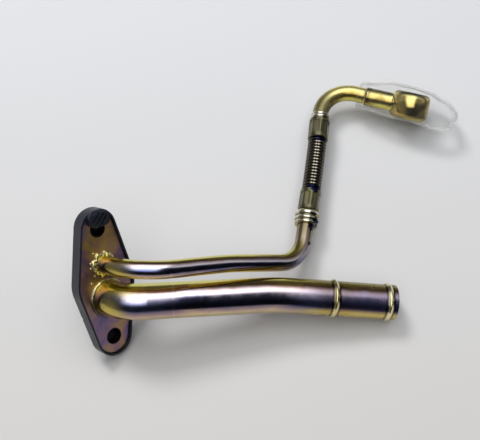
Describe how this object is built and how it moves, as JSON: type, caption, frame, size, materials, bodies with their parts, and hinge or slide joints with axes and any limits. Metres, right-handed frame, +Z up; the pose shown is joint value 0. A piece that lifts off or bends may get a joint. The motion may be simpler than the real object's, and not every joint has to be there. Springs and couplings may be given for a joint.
{
  "type": "turbo oil line",
  "caption": "Turbocharger oil line: one bolted flange carries a thin feed pipe with a corrugated flexible joint and a banjo end, and a wide return pipe with a beaded hose end.",
  "frame": {"origin": "on the surface that the line lies on, under the middle of its box", "axes": "+Z up from that surface; +X along the return pipe's last stretch, from the flange to its hose end; +Y towards the banjo end"},
  "size_m": [0.2176, 0.173, 0.0644],
  "materials": {
    "flange_plate": "yellow zinc plated, satin, mauve and gold tints",
    "pipe_plate": "yellow zinc plated, smooth, iridescent",
    "stem_plate": "yellow zinc plated, turned",
    "ferrule_plate": "yellow zinc plated, crimped, olive",
    "hose_steel": "bare corrugated stainless steel",
    "banjo_plate": "yellow zinc plated, golden",
    "braze": "braze fillet, uneven",
    "cover_plastic": "soft black moulded plastic",
    "cap_vinyl": "clear soft vinyl"
  },
  "bodies": {
    "root": {"flange": "flange_plate", "flange_cover": "cover_plastic", "feed_pipe": "pipe_plate", "feed_braze": "braze", "drain_pipe": "pipe_plate", "drain_braze": "braze", "lower_stem": "stem_plate", "lower_ferrule": "ferrule_plate", "flex_hose": "hose_steel", "upper_ferrule": "ferrule_plate", "upper_stem": "stem_plate", "feed_elbow": "banjo_plate", "banjo_fitting": "banjo_plate", "banjo_braze": "braze", "banjo_cap": "cap_vinyl"}
  },
  "joints": []
}
